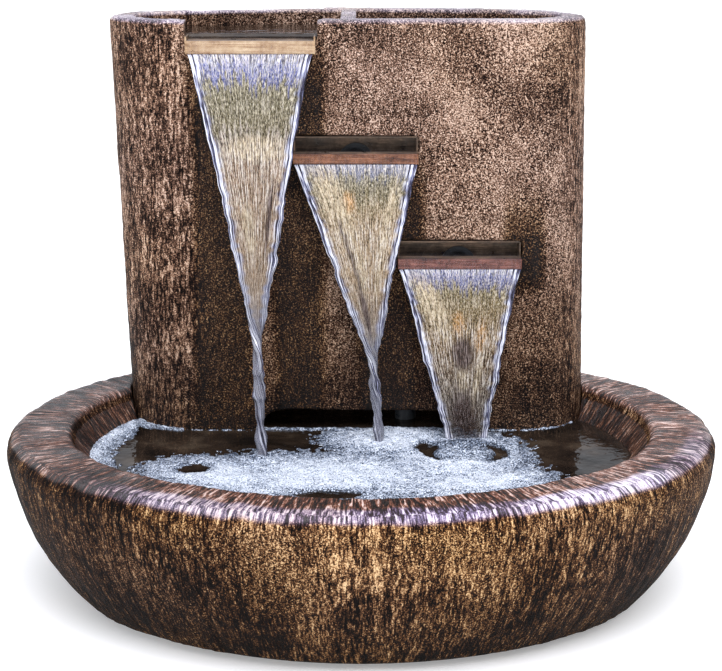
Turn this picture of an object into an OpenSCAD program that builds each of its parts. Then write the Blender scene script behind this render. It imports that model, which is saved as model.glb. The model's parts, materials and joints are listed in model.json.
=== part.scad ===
// Three-spill cast stone water fountain: an oval bowl, a hollow tower that stands
// in a seat cut into the back of the bowl's rim, copper spillways and the pump,
// manifold, valves and hoses that feed them.
// Millimetres, +Z up, origin at the middle of the bowl's flat foot, front towards -Y.

/* [Bowl] */
// Width of the bowl over the rim
bowl_w = 670; // [640:1:700]
// Depth of the bowl over the rim, front to back
bowl_d = 575; // [560:1:590]
// Height of the top of the rim
bowl_h = 161; // [156:1:170]
// Radius of the two end arcs of the oval
end_r = 260; // [255:1:265]
// Width of the rim's top, from its outer face to its inner edge
rim_t = 61; // [56:1:64]
// Radius of the rim's outer roll
roll_r = 17; // [14:1:20]
// Radius of the rim's inner edge
edge_r = 8; // [5:1:10]
// Radius of the belly's curve
belly_r = 237; // [230:1:245]
// Outward lean of the belly where it meets the rim's roll, in degrees
belly_lean = 7.3; // [6:0.1:9]
// Thickness of the bowl's floor
floor_t = 30; // [26:1:34]
// Distance of the flat floor's edge in from the rim's outer face
floor_in = 125; // [118:1:128]
// Distance of the inner wall in from the rim's outer face at the water line
wall_in = 80; // [76:1:84]
// Height of the water line
water_z = 131; // [126:1:134]
// Width of the chamfer round the foot
foot_cut = 20; // [12:1:24]
// Height of the chamfer round the foot
foot_cut_h = 9; // [6:1:12]

/* [Tower] */
// Height of the tower's top above the ground
tower_top = 535; // [525:1:545]
// Height of the tower's foot above the ground
tower_foot = 96; // [92:1:100]
// Width of the tower at its top
tower_w_top = 467; // [460:1:474]
// Width of the tower at its foot
tower_w_foot = 458; // [450:1:466]
// Sideways place of the tower's middle at its top
lean_top = -13; // [-16:1:0]
// Sideways place of the tower's middle at its foot
lean_foot = -3; // [-4:1:0]
// Place of the tower's flat front
front_y = 71; // [69:1:73]
// Place of the tower's back at its middle
back_y = 246; // [242:1:250]
// Radius of the tower's rounded ends
tower_end_r = 72; // [68:1:76]
// Thickness of the tower's wall
tower_wall = 24; // [22:1:26]
// Size of the chamfer round the tower's top
top_cut = 4; // [2:1:6]
// Gap between the tower and its seat in the bowl
seat_gap = 1; // [0.6:0.1:1.5]
// Thickness of the setting pads under the tower
pad_t = 3; // [2:0.5:4]
// Width of the low arch in the tower's front
arch_w = 200; // [190:1:206]
// Height of the arch's underside
arch_z = 152; // [148:1:156]

/* [Header basin] */
// Underside of the basin's floor
basin_z = 465; // [460:1:470]
// Thickness of the basin's floor
basin_t = 15; // [12:1:18]
// Left face of the partition
partition_x = -20; // [-22:1:-18]
// Thickness of the partition
partition_t = 15; // [12:1:16]

/* [Spillways] */
// Width of each spillway
spill_w = 120; // [116:1:122]
// Sideways places of the upper, middle and lower spillways
spill_x = [-105, -5, 96];
// Heights of the three spill crests
spill_z = [516, 408.5, 306];
// Thickness of the copper sheet
copper_t = 1.5; // [1:0.1:2]
// How far the lips stand out from the tower's front
lip_out = 7; // [5:0.5:8]
// How far the upper lip is bent down
lip_drop_upper = 12; // [10:0.5:13]
// How far the middle and lower lips are bent down
lip_drop = 9.5; // [8:0.5:11]
// Height of the slots above the crests
slot_up = 15.5; // [14:0.5:17]
// Depth of the trough behind the crest
trough_down = 31; // [30:0.5:33]
// Place of the back of the copper troughs
trough_back = 104; // [103:0.5:105]

/* [Plumbing] */
// Place of the plane that all the upright pipes stand in
pipe_y = 120; // [120:0.5:121]
// Bore of the branch hoses, and the size of their barbs
branch_id = 12.7; // [12:0.1:13]
// Outer diameter of the branch hoses
branch_od = 16.7; // [16:0.1:17]
// Bore of the riser hose, and the size of its barbs
riser_id = 16; // [15:0.5:16]
// Outer diameter of the riser hose
riser_od = 21; // [20:0.5:22]
// Outer diameter of the manifold
manifold_od = 30; // [28:1:31]
// Height of the manifold
manifold_z = 190; // [186:1:192]
// Diameter of the valve plugs
plug_d = 14; // [13:0.5:14]
// Running clearance of a turning part in its bore, on the radius
run_gap = 0.05; // [0.03:0.01:0.08]

/* [Pump] */
// Sideways place of the pump's outlet
pump_x = 45; // [43:1:47]
// Front-to-back place of the impeller's axis
pump_y = 104; // [103:1:104]
// Height of the impeller's axis
pump_z = 66; // [66:1:68]
// Size of the square pump housing
pump_w = 60; // [58:1:60]
// Diameter of the impeller
impeller_d = 36; // [34:1:38]

/* [Hidden] */
$fn = 96;
eps = 0.01;
far = 400;

// The oval: two end arcs and two side arcs that meet without a corner
end_c = bowl_w / 2 - end_r;
end_gap = bowl_d / 2 - end_r;
side_d = (end_c * end_c - end_gap * end_gap) / (2 * end_gap);
side_r = bowl_d / 2 + side_d;
end_a = atan2(side_d, end_c);

// Bowl section
roll_z = bowl_h - roll_r;
belly_x = roll_r + (belly_r - roll_r) * cos(belly_lean);
belly_z = roll_z + (belly_r - roll_r) * sin(belly_lean);
foot_a = -asin((belly_z - foot_cut_h) / belly_r);
foot_in = belly_x - sqrt(belly_r * belly_r - belly_z * belly_z);
end_n = 16;
side_n = 16;
seat_z = tower_foot - pad_t;
drain = [-75, 98];
drain_d = 30;
cord_w = 12;

// Tower
end_y = front_y + tower_end_r;
inner_y = front_y + tower_wall;
arch_r = arch_z - water_z;
wedge = 1.4;
hollow_x = partition_x + partition_t;
basin_floor = basin_z + basin_t;
notch_w = spill_w + 4;
pad_d = 20;
pad_at = [0, 50];

// Copper
sill_t = 9;
fit_gap = 0.5;
trough_front = front_y + sill_t;
lip_y = front_y - lip_out;
inlet_drop = 11;
inlet_d = 27;
inlet_bore = 24;
inlet_flange_d = 34;
cheek_up = 4;
cheek_gap = 0.3;
spill_in = 28;

// Upper inlet, upright through the basin's floor
upper_inlet_x = -70;
nut_d = 38;
nut_t = 5;
washer_t = 1;
nut_gap = 0.1;

// Elbows behind the troughs
leg_d = 18;
leg_top = 8;
leg_end = 22;
barb_l = 18;
barb_bore = 10;
elbow_end = pipe_y + inlet_d / 2;

// Manifold
tube_wall = 3;
port_x = [upper_inlet_x, spill_x[1], spill_x[2]];
manifold_x0 = port_x[0] - 14;
manifold_x1 = port_x[2] + 18;
plug_z = manifold_z + manifold_od / 2 + 8;
barrel_d = 22;
barrel_l = 26;
barrel_y = pipe_y - barrel_l / 2;
stub_z = plug_z + 19;
hose_z = stub_z + 1;
stem_d = 7;
lever_y = barrel_y - 9;
lever_t = 6;
lever_l = 28;
lever_w = 8;
clip_x = [-30, 72];
clip_w = 12;
clip_t = 2;
clip_rise = 22;
screw_d = 4;
screw_l = 14;
screw_head_d = 8;
screw_head_t = 2.5;

// Pump
pump_bottom = pump_z - pump_w / 2;
pump_top = pump_z + pump_w / 2;
volute_x = pump_x - 9;
volute_l = 18;
volute_end = volute_x + volute_l;
motor_l = 66;
chamber_d = 44;
rotor_d = 24;
rotor_bore = 26;
rotor_x = volute_x - 36;
shaft_d = 3;
bush_d = 7;
bush_l = 5;
front_bush_l = 3;
eye_d = 18;
seal_r = 24;
seal_w = 1.5;
pump_screw_at = pump_w / 2 - 5;
cage_step = 4;
cage_x = volute_end - cage_step;
cage_l = 24;
cage_w = pump_w - 8;
cage_wall = 2;
cage_gap = 0.3;
cage_end = cage_x + cage_l;
slot_n = 7;
dial_d = 20;
dial_stem = 6;
cup_at = 20;

// Points at height z along the tower's lean, and the tower's width there
function lean_x(z) = lean_foot + (lean_top - lean_foot) * (z - tower_foot) / (tower_top - tower_foot);
function tower_w(z) =
    tower_w_foot + (tower_w_top - tower_w_foot) * (z - tower_foot) / (tower_top - tower_foot);
// How far the back arc's centre lies in front of the ends' centres
function back_m(w) =
    let (q = back_y - tower_end_r - end_y, xc = w / 2 - tower_end_r) (xc * xc - q * q) / (2 * q);
// Middle height of a trough's inlet
function inlet_z(i) = spill_z[i] - inlet_drop;

// ---------------------------------------------------------------- shared shapes

module along_x() { rotate([90, 0, 90]) children(); }

module along_y() { rotate([-90, 0, 0]) children(); }

module tube(d, bore, h) {
    difference() {
        cylinder(h = h, d = d);
        translate([0, 0, -1]) cylinder(h = h + 2, d = bore);
    }
}

// Rectangle with exact round corners, centred
module round_rect(w, h, r) {
    square([w - 2 * r, h], center = true);
    square([w, h - 2 * r], center = true);
    for (x = [-1, 1], y = [-1, 1])
        translate([x * (w / 2 - r), y * (h / 2 - r)]) circle(r);
}

// ---------------------------------------------------------------- bowl

// Points along an arc from angle a0, up to but not including angle a1
function arc_points(c, r, a0, a1, n) =
    [for (i = [0 : n - 1]) let (a = a0 + (a1 - a0) * i / n) c + r * [cos(a), sin(a)]];

// The oval, drawn in by inset
function oval_points(inset) = concat(
    arc_points([end_c, 0], end_r - inset, -end_a, end_a, end_n),
    arc_points([0, -side_d], side_r - inset, end_a, 180 - end_a, side_n),
    arc_points([-end_c, 0], end_r - inset, 180 - end_a, 180 + end_a, end_n),
    arc_points([0, side_d], side_r - inset, 180 + end_a, 360 - end_a, side_n)
);

// Section of the bowl from the foot, over the rim and down to the floor: -inset and height
bowl_section = concat(
    [[-foot_in - foot_cut / 2, 0]],
    arc_points([-belly_x, belly_z], belly_r, foot_a, -belly_lean, 8),
    arc_points([-roll_r, roll_z], roll_r, -belly_lean, 90, 8),
    arc_points([edge_r - rim_t, bowl_h - edge_r], edge_r, 90, 180, 4),
    [[-rim_t, bowl_h - edge_r], [-wall_in, water_z - 3], [-floor_in, floor_t]]
);

module bowl_body() {
    ring = 2 * (end_n + side_n);
    levels = len(bowl_section);
    polyhedron(
        points = [for (q = bowl_section, o = oval_points(-q[0])) [o[0], o[1], q[1]]],
        faces = concat(
            [[for (i = [0 : ring - 1]) i]],
            [[for (i = [ring - 1 : -1 : 0]) (levels - 1) * ring + i]],
            [for (k = [0 : levels - 2], i = [0 : ring - 1])
                let (j = (i + 1) % ring) [k * ring + i, (k + 1) * ring + i, (k + 1) * ring + j, k * ring + j]]
        )
    );
}

// Upright seat for the tower, wide enough for its lean
module tower_seat() {
    translate([lean_x(bowl_h), 0, seat_z])
        linear_extrude(bowl_h) tower_plan(tower_w(bowl_h), -seat_gap);
}

module bowl() {
    color("saddlebrown") difference() {
        bowl_body();
        tower_seat();
        translate([drain[0], drain[1], -1]) cylinder(h = floor_t + 2, d = drain_d);
        translate([drain[0] - cord_w / 2, drain[1], -1]) cube([cord_w, bowl_d, cord_w + 1]);
    }
}

// ---------------------------------------------------------------- tower

// Plan of the tower at width w, drawn in by inset: flat front, round ends, bowed back
module tower_plan(w, inset) {
    xc = w / 2 - tower_end_r;
    m = back_m(w);
    for (s = [-1, 1]) translate([s * xc, end_y]) circle(tower_end_r - inset);
    translate([-xc, front_y + inset]) square([2 * xc, tower_end_r - inset]);
    intersection() {
        translate([0, end_y - m]) circle(back_y - end_y + m - inset, $fn = 192);
        polygon([
            [-xc, end_y], [xc, end_y], [wedge * xc, end_y + (wedge - 1) * m], [-wedge * xc, end_y + (wedge - 1) * m]
        ]);
    }
}

module tower_slice(z, inset) {
    translate([lean_x(z), 0, z]) linear_extrude(eps) tower_plan(tower_w(z), inset);
}

// The tower's leaning outline between two heights
module tower_slab(z0, z1, inset) {
    hull() {
        tower_slice(z0, inset);
        tower_slice(z1 - eps, inset);
    }
}

module tower_outline() {
    hull() {
        tower_slice(tower_foot, 0);
        tower_slice(tower_top - top_cut, 0);
        tower_slice(tower_top - eps, top_cut);
    }
}

// The hollow of the tower, less the basin's floor and the partition
module tower_hollow() {
    difference() {
        tower_slab(tower_foot - 1, tower_top + 1, tower_wall);
        translate([-far, 0, basin_z]) cube([far + hollow_x, far, basin_t]);
        translate([partition_x, 0, basin_z]) cube([partition_t, far, far]);
    }
}

module arch_cut() {
    translate([0, inner_y + 1, 0]) rotate([90, 0, 0]) linear_extrude(tower_wall + 2) {
        translate([-arch_w / 2, 0]) square([arch_w, arch_z - arch_r]);
        translate([-arch_w / 2 + arch_r, 0]) square([arch_w - 2 * arch_r, arch_z]);
        for (s = [-1, 1]) translate([s * (arch_w / 2 - arch_r), arch_z - arch_r]) circle(arch_r);
    }
}

module tower() {
    color("rosybrown") difference() {
        tower_outline();
        tower_hollow();
        translate([spill_x[0] - notch_w / 2, 0, spill_z[0] - copper_t]) cube([notch_w, inner_y + 1, far]);
        for (i = [1, 2]) translate([spill_x[i] - spill_w / 2 - fit_gap, 0, spill_z[i]]) {
            translate([0, 0, -copper_t]) cube([spill_w + 2 * fit_gap, inner_y + 1, copper_t + slot_up]);
            translate([0, trough_front - fit_gap, -trough_down - copper_t])
                cube([spill_w + 2 * fit_gap, tower_wall, trough_down + copper_t + slot_up]);
        }
        arch_cut();
        translate([upper_inlet_x, pipe_y, basin_z - 1]) cylinder(h = basin_t + 2, d = inlet_d + 0.4);
        for (x = clip_x, s = [-1, 1])
            translate([x, inner_y - screw_l + 1, manifold_z + s * clip_rise])
                along_y() cylinder(h = screw_l, d = screw_d);
    }
}

module setting_pads() {
    w = tower_w(tower_foot);
    xc = w / 2 - tower_end_r;
    m = back_m(w);
    mid = tower_wall / 2;
    color("dimgray") translate([lean_x(tower_foot), 0, seat_z]) {
        for (s = [-1, 1], a = pad_at)
            translate([s * (xc + (tower_end_r - mid) * cos(a)), end_y + (tower_end_r - mid) * sin(a)])
                cylinder(h = pad_t, d = pad_d);
        translate([0, back_y - mid]) cylinder(h = pad_t, d = pad_d);
    }
}

// ---------------------------------------------------------------- copper spillways

// Open lip in the notch: floor, bent front and two cheeks
module spillway_upper() {
    w = notch_w - 2 * cheek_gap;
    z = spill_z[0];
    color("peru") translate([spill_x[0] - w / 2, 0, 0]) {
        translate([0, lip_y, z - copper_t]) cube([w, spill_in + lip_out, copper_t]);
        translate([0, lip_y, z - lip_drop_upper]) cube([w, copper_t, lip_drop_upper]);
        for (x = [0, w - copper_t])
            translate([x, lip_y, z - copper_t]) cube([copper_t, spill_in + lip_out, cheek_up + copper_t]);
    }
}

// Trough with a weir crest, a bent lip, closed ends, roof and a back with the inlet
module trough(i) {
    z = spill_z[i];
    w = spill_w;
    depth = trough_back - trough_front;
    roof = slot_up - fit_gap;
    color("peru") difference() {
        translate([spill_x[i] - w / 2, 0, z]) {
            difference() {
                translate([0, trough_front, -trough_down - copper_t + eps])
                    cube([w, depth, trough_down + copper_t + roof - eps]);
                translate([copper_t, trough_front + copper_t, -trough_down])
                    cube([w - 2 * copper_t, depth - 2 * copper_t, trough_down + roof - copper_t]);
                translate([copper_t, trough_front - 1, 0])
                    cube([w - 2 * copper_t, depth / 2, roof - copper_t]);
            }
            translate([0, lip_y, -copper_t]) cube([w, trough_front - lip_y + copper_t, copper_t]);
            translate([0, lip_y, -lip_drop]) cube([w, copper_t, lip_drop]);
        }
        translate([spill_x[i], trough_back - 5, inlet_z(i)])
            along_y() cylinder(h = 10, d = inlet_d + 0.2);
    }
}

module spillway_middle() { trough(1); }

module spillway_lower() { trough(2); }

// ---------------------------------------------------------------- inlets

// Elbow through a trough's back: open mouth forward, barb down
module elbow(i) {
    z = inlet_z(i);
    mouth = trough_back - copper_t;
    color("darkslategray") translate([spill_x[i], 0, z]) difference() {
        union() {
            translate([0, mouth, 0]) along_y() cylinder(h = elbow_end - mouth, d = inlet_d);
            translate([0, mouth - 3, 0]) along_y() cylinder(h = 3, d = inlet_flange_d);
            translate([0, pipe_y, -leg_end]) cylinder(h = leg_end - leg_top, d = leg_d);
            translate([0, pipe_y, -leg_end - barb_l]) cylinder(h = barb_l + 1, d = branch_id);
        }
        translate([0, mouth - 4, 0])
            along_y() cylinder(h = elbow_end - mouth + 1.5, d = inlet_bore);
        translate([0, pipe_y, -leg_end - barb_l - 1]) cylinder(h = leg_end + barb_l + 1, d = barb_bore);
    }
}

module inlet_middle() { elbow(1); }

module inlet_lower() { elbow(2); }

// Upright fitting through the floor of the header basin
module inlet_upper() {
    low = basin_z - washer_t - nut_t - 6;
    color("darkslategray") translate([upper_inlet_x, pipe_y, 0]) difference() {
        union() {
            translate([0, 0, basin_floor]) cylinder(h = 4, d = inlet_flange_d + 4);
            translate([0, 0, low]) cylinder(h = basin_floor - low, d = inlet_d);
            translate([0, 0, low - barb_l]) cylinder(h = barb_l + 1, d = branch_id);
        }
        translate([0, 0, basin_z]) cylinder(h = basin_t + 5, d = inlet_bore - 4);
        translate([0, 0, low - barb_l - 1]) cylinder(h = far / 4, d = barb_bore);
    }
}

// Ring on each fitting's thread, turned by six flats
module hex_ring(bore, flats, h) {
    difference() {
        cylinder(h = h, d = flats, $fn = 6);
        translate([0, 0, -1]) cylinder(h = h + 2, d = bore);
    }
}

module inlet_nuts() {
    color("gray") {
        for (i = [1, 2])
            translate([spill_x[i], trough_back + washer_t, inlet_z(i)])
                along_y() hex_ring(inlet_d + nut_gap, nut_d, nut_t);
        translate([upper_inlet_x, pipe_y, basin_z - washer_t - nut_t])
            hex_ring(inlet_d + nut_gap, nut_d, nut_t);
    }
}

module inlet_washers() {
    color("black") {
        for (i = [1, 2])
            translate([spill_x[i], trough_back, inlet_z(i)])
                along_y() tube(nut_d - 3, inlet_d + nut_gap, washer_t);
        translate([upper_inlet_x, pipe_y, basin_z - washer_t])
            tube(nut_d - 3, inlet_d + nut_gap, washer_t);
    }
}

// ---------------------------------------------------------------- hoses and clamps

riser_z0 = pump_top + 1;
riser_z1 = manifold_z - manifold_od / 2 - 1;
upper_top = basin_z - washer_t - nut_t - 7;
branch_top = [upper_top, inlet_z(1) - leg_end - 1, inlet_z(2) - leg_end - 1];

module riser_hose() {
    color("lightgray") translate([pump_x, pipe_y, riser_z0])
        tube(riser_od, riser_id, riser_z1 - riser_z0);
}

module branch_hose(i) {
    color("lightgray") translate([port_x[i], pipe_y, hose_z])
        tube(branch_od, branch_id, branch_top[i] - hose_z);
}

module hose_upper() { branch_hose(0); }

module hose_middle() { branch_hose(1); }

module hose_lower() { branch_hose(2); }

// Worm-drive band: ring and screw housing
module clamp(d) {
    difference() {
        union() {
            cylinder(h = 8, d = d + 2.4);
            translate([-6, d / 2 - 0.5, 1]) cube([12, 6, 6]);
        }
        translate([0, 0, -1]) cylinder(h = 10, d = d + nut_gap);
    }
}

module hose_clamps() {
    color("silver") {
        for (z = [riser_z0 + 4, riser_z1 - 12]) translate([pump_x, pipe_y, z]) clamp(riser_od);
        for (i = [0, 1, 2], z = [hose_z + 4, branch_top[i] - 12])
            translate([port_x[i], pipe_y, z]) clamp(branch_od);
    }
}

// ---------------------------------------------------------------- manifold and valves

module manifold() {
    bore = manifold_od - 2 * tube_wall;
    color("dimgray") difference() {
        union() {
            translate([manifold_x0, pipe_y, manifold_z])
                along_x() cylinder(h = manifold_x1 - manifold_x0, d = manifold_od);
            for (x = port_x) {
                translate([x, barrel_y, plug_z]) along_y() cylinder(h = barrel_l, d = barrel_d);
                translate([x, pipe_y, manifold_z]) cylinder(h = stub_z - manifold_z, d = leg_d);
                translate([x, pipe_y, stub_z - 1]) cylinder(h = barb_l + 1, d = branch_id);
            }
            translate([pump_x, pipe_y, riser_z1 - barb_l])
                cylinder(h = manifold_z - riser_z1 + barb_l, d = riser_id);
        }
        translate([manifold_x0 + tube_wall, pipe_y, manifold_z])
            along_x() cylinder(h = manifold_x1 - manifold_x0 - 2 * tube_wall, d = bore);
        for (x = port_x) {
            translate([x, pipe_y, manifold_z]) cylinder(h = far / 4, d = barb_bore - 1);
            translate([x, barrel_y - 1, plug_z])
                along_y() cylinder(h = barrel_l - 1.5, d = plug_d + 2 * run_gap);
        }
        translate([pump_x, pipe_y, riser_z1 - barb_l - 1])
            cylinder(h = manifold_z - riser_z1 + barb_l + 1, d = riser_id - 5);
    }
}

// Quarter-turn plug with its cross bore and its stem
module valve_plug(i) {
    color("ivory") translate([port_x[i], 0, plug_z]) difference() {
        union() {
            translate([0, barrel_y, 0]) along_y() cylinder(h = barrel_l - 3.5, d = plug_d);
            translate([0, lever_y, 0]) along_y() cylinder(h = barrel_y - lever_y + 1, d = stem_d);
        }
        translate([0, pipe_y, -plug_d]) cylinder(h = 2 * plug_d, d = barb_bore - 1);
    }
}

module valve_plug_upper() { valve_plug(0); }

module valve_plug_middle() { valve_plug(1); }

module valve_plug_lower() { valve_plug(2); }

// Lever on the stem, upright when the valve is open
module valve_lever(i) {
    color("firebrick") translate([port_x[i], lever_y + lever_t, plug_z]) rotate([90, 0, 0])
        difference() {
            linear_extrude(lever_t) {
                circle(d = stem_d + 7);
                translate([-lever_w / 2, 0]) square([lever_w, lever_l - lever_w / 2]);
                translate([0, lever_l - lever_w / 2]) circle(d = lever_w);
            }
            translate([0, 0, -1]) cylinder(h = lever_t + 2, d = stem_d);
        }
}

module valve_lever_upper() { valve_lever(0); }

module valve_lever_middle() { valve_lever(1); }

module valve_lever_lower() { valve_lever(2); }

// Saddles that hold the manifold to the tower's inner front face
module pipe_clips() {
    plate_h = 2 * clip_rise + 12;
    color("darkgray") for (x = clip_x) translate([x - clip_w / 2, 0, 0]) difference() {
        union() {
            translate([0, inner_y, manifold_z - plate_h / 2]) cube([clip_w, 3, plate_h]);
            translate([0, pipe_y, manifold_z])
                along_x() cylinder(h = clip_w, d = manifold_od + 2 * clip_t);
            translate([0, inner_y, manifold_z - clip_rise / 2]) cube([clip_w, 12, clip_rise]);
        }
        translate([-1, pipe_y, manifold_z])
            along_x() cylinder(h = clip_w + 2, d = manifold_od + nut_gap);
        for (s = [-1, 1])
            translate([clip_w / 2, inner_y - 1, manifold_z + s * clip_rise])
                along_y() cylinder(h = 6, d = screw_d);
    }
}

module clip_screws() {
    color("silver") for (x = clip_x, s = [-1, 1])
        translate([x, inner_y - screw_l + 2, manifold_z + s * clip_rise]) along_y() {
            cylinder(h = screw_l + 1, d = screw_d);
            translate([0, 0, screw_l + 1]) difference() {
                cylinder(h = screw_head_t, d = screw_head_d);
                translate([0, 0, 1]) cylinder(h = 2, d = 3, $fn = 6);
            }
        }
}

// ---------------------------------------------------------------- pump

module housing(x, l, w, r) {
    translate([x, pump_y, pump_z]) along_x() linear_extrude(l) round_rect(w, w, r);
}

module pump_bolt_holes(x, l, d) {
    for (y = [-1, 1], z = [-1, 1])
        translate([x, pump_y + y * pump_screw_at, pump_z + z * pump_screw_at])
            along_x() cylinder(h = l, d = d);
}

module pump_motor() {
    color("midnightblue") difference() {
        housing(volute_x - motor_l, motor_l, pump_w, 8);
        translate([rotor_x, pump_y, pump_z]) along_x() cylinder(h = 60, d = rotor_bore);
        translate([rotor_x - bush_l, pump_y, pump_z]) along_x() cylinder(h = 10, d = bush_d);
        pump_bolt_holes(volute_x - 16, 20, shaft_d);
        for (x = [-1, 1], y = [-1, 1])
            translate([volute_x - motor_l / 2 + x * cup_at, pump_y + y * cup_at, pump_bottom - 1])
                cylinder(h = 5, d = 6);
        translate([volute_x - motor_l - 1, pump_y, pump_z + 12]) along_x() cylinder(h = 13, d = 12);
    }
}

module pump_volute() {
    color("navy") difference() {
        union() {
            housing(volute_x, volute_l - cage_step, pump_w, 8);
            housing(cage_x - 1, cage_step + 1, cage_w - 2 * cage_wall - 2 * cage_gap, 6);
            translate([pump_x, pipe_y, pump_top - 1]) cylinder(h = barb_l + 1, d = riser_id);
        }
        translate([volute_x - 1, pump_y, pump_z]) along_x() cylinder(h = volute_l - 1, d = chamber_d);
        translate([pump_x, pipe_y, pump_z]) cylinder(h = pump_w, d = riser_id - 5);
        difference() {
            translate([volute_end - 4, pump_y, pump_z]) along_x() cylinder(h = 8, d = eye_d);
            translate([volute_end - 2, pump_y, pump_z]) along_x() cylinder(h = 2, d = bush_d + 4);
            for (a = [0, 120, 240])
                translate([volute_end - 2, pump_y, pump_z]) rotate([a, 0, 0])
                    translate([0, -1, 0]) cube([2, 2, eye_d]);
        }
        translate([volute_end - front_bush_l, pump_y, pump_z]) along_x() cylinder(h = 5, d = bush_d);
        translate([volute_x - 1, pump_y, pump_z])
            along_x() cylinder(h = 1 + seal_w, d = 2 * (seal_r + seal_w));
        pump_bolt_holes(volute_x - 1, volute_l + 2, shaft_d);
        pump_bolt_holes(cage_x - 2, volute_l, screw_head_d - 2.4);
    }
}

module volute_seal() {
    color("black") translate([volute_x, pump_y, pump_z])
        along_x() tube(2 * (seal_r + seal_w), chamber_d, seal_w);
}

module volute_screws() {
    color("silver") {
        pump_bolt_holes(volute_x - 14, cage_x - volute_x + 12, shaft_d);
        pump_bolt_holes(cage_x - 2, 2, screw_head_d - 2.4);
    }
}

module impeller() {
    blades = 6;
    blade_t = 1.6;
    disc_x = volute_x + 3;
    color("white") difference() {
        union() {
            translate([rotor_x + 2, pump_y, pump_z]) along_x() cylinder(h = 32, d = rotor_d);
            translate([rotor_x + 2, pump_y, pump_z]) along_x() cylinder(h = 48, d = 8);
            translate([disc_x, pump_y, pump_z]) along_x() cylinder(h = 2, d = impeller_d);
            for (k = [0 : blades - 1])
                translate([disc_x + 1, pump_y, pump_z]) rotate([k * 360 / blades, 0, 0])
                    translate([0, -blade_t / 2, 3]) cube([9, blade_t, impeller_d / 2 - 3.5]);
        }
        translate([rotor_x, pump_y, pump_z]) along_x() cylinder(h = far / 4, d = shaft_d + 2 * run_gap);
    }
}

module impeller_shaft() {
    color("whitesmoke") translate([rotor_x - bush_l, pump_y, pump_z])
        along_x() cylinder(h = volute_end - rotor_x + bush_l, d = shaft_d);
}

module shaft_bushes() {
    color("black") {
        translate([rotor_x - bush_l, pump_y, pump_z]) along_x() tube(bush_d, shaft_d, bush_l);
        translate([volute_end - front_bush_l, pump_y, pump_z])
            along_x() tube(bush_d, shaft_d, front_bush_l);
    }
}

// Slotted cover over the intake
module intake_cage() {
    pitch = (cage_w - 12) / slot_n;
    color("navy") difference() {
        housing(cage_x, cage_l, cage_w, 8);
        housing(cage_x - 1, cage_l + 1 - cage_wall, cage_w - 2 * cage_wall, 6);
        for (k = [0 : slot_n - 1])
            translate([cage_end - 4, pump_y - cage_w / 2 + 6 + (k + 0.25) * pitch, pump_z - cage_w / 2 + 7])
                if (abs(k - (slot_n - 1) / 2) > 1) cube([8, pitch / 2, cage_w - 14]);
        for (k = [0 : 2])
            translate([cage_x + 7 + 4 * k, pump_y - far, pump_z - 15]) cube([2, 2 * far, 30]);
        translate([cage_end - 5, pump_y, pump_z]) along_x() cylinder(h = 10, d = dial_stem + 2 * run_gap);
    }
}

// Knob outside the cage with a shutter disc inside it
module flow_dial() {
    color("orange") translate([0, pump_y, pump_z]) {
        translate([cage_end - 6, 0, 0]) along_x() cylinder(h = 9, d = dial_stem);
        translate([cage_end - cage_wall - 2.5, 0, 0]) along_x() cylinder(h = 2, d = dial_d - 2);
        translate([cage_end + 0.5, 0, 0]) along_x() cylinder(h = 3, d = dial_d);
        translate([cage_end + 3, -dial_d / 2 + 1, -1.5]) cube([4, dial_d - 2, 3]);
    }
}

module suction_cups() {
    color("black") for (x = [-1, 1], y = [-1, 1])
        translate([volute_x - motor_l / 2 + x * cup_at, pump_y + y * cup_at, floor_t]) {
            cylinder(h = 3, r1 = 8, r2 = 5);
            translate([0, 0, 3]) cylinder(h = pump_bottom - floor_t - 3, r = 5);
            translate([0, 0, 3]) cylinder(h = pump_bottom - floor_t, d = 6);
        }
}

module cord_gland() {
    color("black") translate([volute_x - motor_l - 14, pump_y, pump_z + 12]) along_x() difference() {
        union() {
            cylinder(h = 14, d1 = 9, d2 = 12);
            translate([0, 0, 14]) cylinder(h = 12, d = 12);
        }
        translate([0, 0, -1]) cylinder(h = 20, d = 6);
    }
}

// Rubber bung in the bowl's drain, with the cord's bore
module drain_stopper() {
    color("black") translate([drain[0], drain[1], 0]) difference() {
        union() {
            translate([0, 0, floor_t]) cylinder(h = 6, d = drain_d + 10);
            translate([0, 0, cord_w]) cylinder(h = floor_t - cord_w, d = drain_d - 2 * run_gap);
        }
        translate([0, 0, -1]) cylinder(h = floor_t + 10, d = 6);
    }
}

bowl();
tower();
setting_pads();
spillway_upper();
spillway_middle();
spillway_lower();
inlet_upper();
inlet_middle();
inlet_lower();
inlet_nuts();
inlet_washers();
riser_hose();
hose_upper();
hose_middle();
hose_lower();
hose_clamps();
manifold();
pipe_clips();
clip_screws();
valve_plug_upper();
valve_plug_middle();
valve_plug_lower();
valve_lever_upper();
valve_lever_middle();
valve_lever_lower();
pump_motor();
pump_volute();
volute_seal();
volute_screws();
impeller();
impeller_shaft();
shaft_bushes();
intake_cage();
flow_dial();
suction_cups();
cord_gland();
drain_stopper();
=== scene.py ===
"""Carved stone, copper, water, foam and light for a fountain with three falls, round its CAD frame.

Lengths are in metres: x runs across the front, y goes back and z goes up.
"""
import json
import math

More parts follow.
